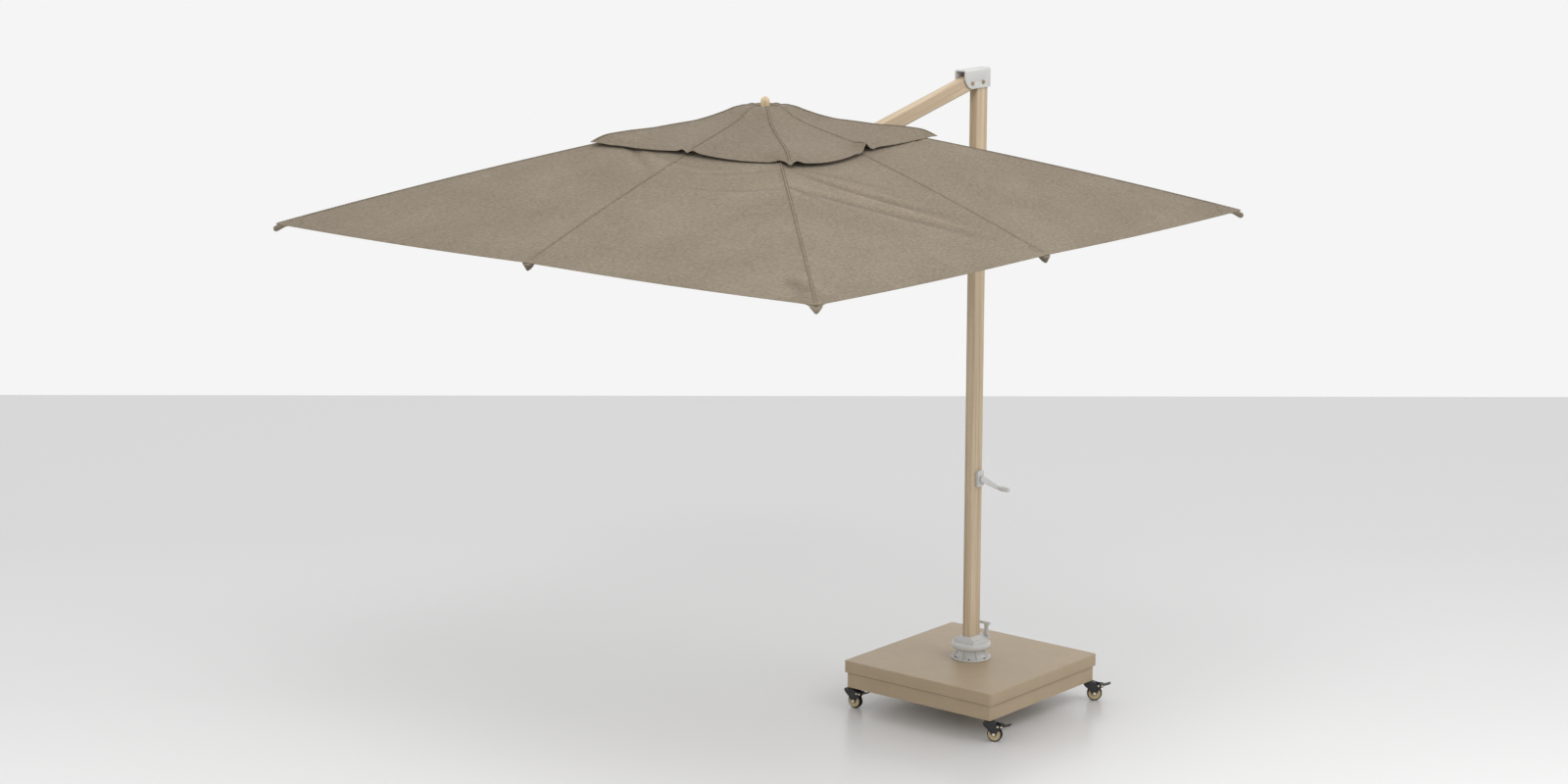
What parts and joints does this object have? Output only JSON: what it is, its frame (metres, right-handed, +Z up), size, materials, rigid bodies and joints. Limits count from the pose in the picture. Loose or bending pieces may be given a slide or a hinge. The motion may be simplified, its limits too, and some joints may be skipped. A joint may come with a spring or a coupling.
{
  "type": "cantilever patio umbrella",
  "caption": "Cantilever patio umbrella: vented square canopy on folding ribs, turning wood-look mast with crank, and a weighted square base on braked swivel casters.",
  "frame": {"origin": "on the mast's turning axis, at the floor that the casters stand on", "axes": "+Z up; the boom and canopy reach out along -Y; the crank is on the +X side"},
  "size_m": [3.05, 3.6232, 3.187],
  "materials": {
    "base_powder": "satin",
    "frame_steel": "satin",
    "ballast_stone": "matte",
    "stem_steel": "satin",
    "cast_white": "satin",
    "dark_steel": "satin",
    "wood_look_mast": "satin",
    "wood_look_boom": "satin",
    "bronze_pins": "satin",
    "finial_wood": "satin",
    "white_plastic": "satin",
    "rib_metal": "satin",
    "canopy_fabric": "matte",
    "caster_black": "satin",
    "tyre_black": "matte"
  },
  "bodies": {
    "base": {"base_lid": "base_powder", "base_tray": "base_powder", "centre_post": "frame_steel", "ballast_slabs": "ballast_stone", "caster_stems": "stem_steel", "hub_flange": "cast_white", "flange_bolts": "dark_steel"},
    "mast": {"mast_collar": "cast_white", "lever_pin": "stem_steel", "mast_tube": "wood_look_mast", "head_bracket": "cast_white", "head_pins": "bronze_pins", "boom_tube": "wood_look_boom", "boom_end": "cast_white", "canopy_post": "cast_white", "top_hub": "cast_white", "hub_pins": "stem_steel", "finial": "finial_wood", "crank_plate": "cast_white"},
    "crank": {"crank_arm": "cast_white", "winch_drum": "frame_steel"},
    "grip": {"crank_grip": "white_plastic"},
    "lever": {"lock_lever": "cast_white"},
    "runner": {"runner": "white_plastic"},
    "rib_right": {"rib_right": "rib_metal", "gore_right": "canopy_fabric"},
    "stretcher_right": {"stretcher_right": "rib_metal"},
    "rib_rear_right": {"rib_rear_right": "rib_metal", "gore_rear_right": "canopy_fabric"},
    "stretcher_rear_right": {"stretcher_rear_right": "rib_metal"},
    "rib_rear": {"rib_rear": "rib_metal", "gore_rear": "canopy_fabric"},
    "stretcher_rear": {"stretcher_rear": "rib_metal"},
    "rib_rear_left": {"rib_rear_left": "rib_metal", "gore_rear_left": "canopy_fabric"},
    "stretcher_rear_left": {"stretcher_rear_left": "rib_metal"},
    "rib_left": {"rib_left": "rib_metal", "gore_left": "canopy_fabric"},
    "stretcher_left": {"stretcher_left": "rib_metal"},
    "rib_front_left": {"rib_front_left": "rib_metal", "gore_front_left": "canopy_fabric"},
    "stretcher_front_left": {"stretcher_front_left": "rib_metal"},
    "rib_front": {"rib_front": "rib_metal", "gore_front": "canopy_fabric"},
    "stretcher_front": {"stretcher_front": "rib_metal"},
    "rib_front_right": {"rib_front_right": "rib_metal", "gore_front_right": "canopy_fabric"},
    "stretcher_front_right": {"stretcher_front_right": "rib_metal"},
    "fork_front_right": {"fork_front_right": "caster_black"},
    "wheel_front_right": {"wheel_front_right": "tyre_black"},
    "pedal_front_right": {"pedal_front_right": "caster_black"},
    "fork_rear_right": {"fork_rear_right": "caster_black"},
    "wheel_rear_right": {"wheel_rear_right": "tyre_black"},
    "pedal_rear_right": {"pedal_rear_right": "caster_black"},
    "fork_rear_left": {"fork_rear_left": "caster_black"},
    "wheel_rear_left": {"wheel_rear_left": "tyre_black"},
    "pedal_rear_left": {"pedal_rear_left": "caster_black"},
    "fork_front_left": {"fork_front_left": "caster_black"},
    "wheel_front_left": {"wheel_front_left": "tyre_black"},
    "pedal_front_left": {"pedal_front_left": "caster_black"}
  },
  "joints": [
    {"name": "mast_turn", "type": "hinge", "parent": "base", "child": "mast", "pos_m": [0, 0, 0.3], "axis": [0, 0, 1], "continuous": true},
    {"name": "crank_turn", "type": "hinge", "parent": "mast", "child": "crank", "pos_m": [0.05, 0.005, 1.157], "axis": [1, 0, 0], "range_deg": [0, 3177.9]},
    {"name": "grip_spin", "type": "hinge", "parent": "crank", "child": "grip", "pos_m": [0.09, 0.142, 1.085], "axis": [1, 0, 0], "continuous": true},
    {"name": "lock_lever_flip", "type": "hinge", "parent": "mast", "child": "lever", "pos_m": [0.051, 0.0575, 0.35], "axis": [1, 0, 0], "range_deg": [-60, 0]},
    {"name": "runner_slide", "type": "slide", "parent": "mast", "child": "runner", "axis": [0, 0, -1], "range_m": [0, 1.1093]},
    {"name": "rib_hinge_right", "type": "hinge", "parent": "mast", "child": "rib_right", "pos_m": [0.075, -1.6, 3.104], "axis": [0, 1, 0], "range_deg": [0, 66], "deforming": ["gore_right"]},
    {"name": "stretcher_hinge_right", "type": "hinge", "parent": "rib_right", "child": "stretcher_right", "pos_m": [0.875, -1.6, 2.8398], "axis": [0, -1, 0], "range_deg": [0, 126.75]},
    {"name": "rib_hinge_rear_right", "type": "hinge", "parent": "mast", "child": "rib_rear_right", "pos_m": [0.05303, -1.54697, 3.104], "axis": [-0.7071, 0.7071, 0], "range_deg": [0, 73.3], "deforming": ["gore_rear_right"]},
    {"name": "stretcher_hinge_rear_right", "type": "hinge", "parent": "rib_rear_right", "child": "stretcher_rear_right", "pos_m": [0.61151, -0.98849, 2.92631], "axis": [0.7071, -0.7071, 0], "range_deg": [0, 130.7]},
    {"name": "rib_hinge_rear", "type": "hinge", "parent": "mast", "child": "rib_rear", "pos_m": [0, -1.525, 3.104], "axis": [-1, 0, 0], "range_deg": [0, 66], "deforming": ["gore_rear"]},
    {"name": "stretcher_hinge_rear", "type": "hinge", "parent": "rib_rear", "child": "stretcher_rear", "pos_m": [0, -0.725, 2.8398], "axis": [1, 0, 0], "range_deg": [0, 126.75]},
    {"name": "rib_hinge_rear_left", "type": "hinge", "parent": "mast", "child": "rib_rear_left", "pos_m": [-0.05303, -1.54697, 3.104], "axis": [-0.7071, -0.7071, 0], "range_deg": [0, 73.3], "deforming": ["gore_rear_left"]},
    {"name": "stretcher_hinge_rear_left", "type": "hinge", "parent": "rib_rear_left", "child": "stretcher_rear_left", "pos_m": [-0.61151, -0.98849, 2.92631], "axis": [0.7071, 0.7071, 0], "range_deg": [0, 130.7]},
    {"name": "rib_hinge_left", "type": "hinge", "parent": "mast", "child": "rib_left", "pos_m": [-0.075, -1.6, 3.104], "axis": [0, -1, 0], "range_deg": [0, 66], "deforming": ["gore_left"]},
    {"name": "stretcher_hinge_left", "type": "hinge", "parent": "rib_left", "child": "stretcher_left", "pos_m": [-0.875, -1.6, 2.8398], "axis": [0, 1, 0], "range_deg": [0, 126.75]},
    {"name": "rib_hinge_front_left", "type": "hinge", "parent": "mast", "child": "rib_front_left", "pos_m": [-0.05303, -1.65303, 3.104], "axis": [0.7071, -0.7071, 0], "range_deg": [0, 73.3], "deforming": ["gore_front_left"]},
    {"name": "stretcher_hinge_front_left", "type": "hinge", "parent": "rib_front_left", "child": "stretcher_front_left", "pos_m": [-0.61151, -2.21151, 2.92631], "axis": [-0.7071, 0.7071, 0], "range_deg": [0, 130.7]},
    {"name": "rib_hinge_front", "type": "hinge", "parent": "mast", "child": "rib_front", "pos_m": [0, -1.675, 3.104], "axis": [1, 0, 0], "range_deg": [0, 66], "deforming": ["gore_front"]},
    {"name": "stretcher_hinge_front", "type": "hinge", "parent": "rib_front", "child": "stretcher_front", "pos_m": [0, -2.475, 2.8398], "axis": [-1, 0, 0], "range_deg": [0, 126.75]},
    {"name": "rib_hinge_front_right", "type": "hinge", "parent": "mast", "child": "rib_front_right", "pos_m": [0.05303, -1.65303, 3.104], "axis": [0.7071, 0.7071, 0], "range_deg": [0, 73.3], "deforming": ["gore_front_right"]},
    {"name": "stretcher_hinge_front_right", "type": "hinge", "parent": "rib_front_right", "child": "stretcher_front_right", "pos_m": [0.61151, -2.21151, 2.92631], "axis": [-0.7071, -0.7071, 0], "range_deg": [0, 130.7]},
    {"name": "swivel_front_right", "type": "hinge", "parent": "base", "child": "fork_front_right", "pos_m": [0.424, -0.424, 0.095], "axis": [0, 0, 1], "continuous": true},
    {"name": "roll_front_right", "type": "hinge", "parent": "fork_front_right", "child": "wheel_front_right", "pos_m": [0.45031, -0.41442, 0.0375], "axis": [-0.342, 0.9397, 0], "continuous": true},
    {"name": "brake_front_right", "type": "hinge", "parent": "fork_front_right", "child": "pedal_front_right", "pos_m": [0.4785, -0.40416, 0.079], "axis": [-0.342, 0.9397, 0], "range_deg": [0, 12]},
    {"name": "swivel_rear_right", "type": "hinge", "parent": "base", "child": "fork_rear_right", "pos_m": [0.424, 0.424, 0.095], "axis": [0, 0, 1], "continuous": true},
    {"name": "roll_rear_right", "type": "hinge", "parent": "fork_rear_right", "child": "wheel_rear_right", "pos_m": [0.44694, 0.44006, 0.0375], "axis": [-0.5736, 0.8192, 0], "continuous": true},
    {"name": "brake_rear_right", "type": "hinge", "parent": "fork_rear_right", "child": "pedal_rear_right", "pos_m": [0.47151, 0.45727, 0.079], "axis": [-0.5736, 0.8192, 0], "range_deg": [0, 12]},
    {"name": "swivel_rear_left", "type": "hinge", "parent": "base", "child": "fork_rear_left", "pos_m": [-0.424, 0.424, 0.095], "axis": [0, 0, 1], "continuous": true},
    {"name": "roll_rear_left", "type": "hinge", "parent": "fork_rear_left", "child": "wheel_rear_left", "pos_m": [-0.39928, 0.43715, 0.0375], "axis": [-0.4695, 0.8829, 0], "continuous": true},
    {"name": "brake_rear_left", "type": "hinge", "parent": "fork_rear_left", "child": "pedal_rear_left", "pos_m": [-0.37279, 0.45123, 0.079], "axis": [-0.4695, 0.8829, 0], "range_deg": [0, 12]},
    {"name": "swivel_front_left", "type": "hinge", "parent": "base", "child": "fork_front_left", "pos_m": [-0.424, -0.424, 0.095], "axis": [0, 0, 1], "continuous": true},
    {"name": "roll_front_left", "type": "hinge", "parent": "fork_front_left", "child": "wheel_front_left", "pos_m": [-0.39602, -0.42302, 0.0375], "axis": [-0.0349, 0.9994, 0], "continuous": true},
    {"name": "brake_front_left", "type": "hinge", "parent": "fork_front_left", "child": "pedal_front_left", "pos_m": [-0.36603, -0.42198, 0.079], "axis": [-0.0349, 0.9994, 0], "range_deg": [0, 12]}
  ],
  "couplings": [
    {"joint": "runner_slide", "follows": "crank_turn", "m_per_rad": 0.02},
    {"joint": "rib_hinge_right", "follows": "crank_turn", "ratio": 0.020768},
    {"joint": "stretcher_hinge_right", "follows": "crank_turn", "ratio": 0.039869},
    {"joint": "rib_hinge_rear_right", "follows": "crank_turn", "ratio": 0.023065},
    {"joint": "stretcher_hinge_rear_right", "follows": "crank_turn", "ratio": 0.041115},
    {"joint": "rib_hinge_rear", "follows": "crank_turn", "ratio": 0.020768},
    {"joint": "stretcher_hinge_rear", "follows": "crank_turn", "ratio": 0.039869},
    {"joint": "rib_hinge_rear_left", "follows": "crank_turn", "ratio": 0.023065},
    {"joint": "stretcher_hinge_rear_left", "follows": "crank_turn", "ratio": 0.041115},
    {"joint": "rib_hinge_left", "follows": "crank_turn", "ratio": 0.020768},
    {"joint": "stretcher_hinge_left", "follows": "crank_turn", "ratio": 0.039869},
    {"joint": "rib_hinge_front_left", "follows": "crank_turn", "ratio": 0.023065},
    {"joint": "stretcher_hinge_front_left", "follows": "crank_turn", "ratio": 0.041115},
    {"joint": "rib_hinge_front", "follows": "crank_turn", "ratio": 0.020768},
    {"joint": "stretcher_hinge_front", "follows": "crank_turn", "ratio": 0.039869},
    {"joint": "rib_hinge_front_right", "follows": "crank_turn", "ratio": 0.023065},
    {"joint": "stretcher_hinge_front_right", "follows": "crank_turn", "ratio": 0.041115}
  ]
}
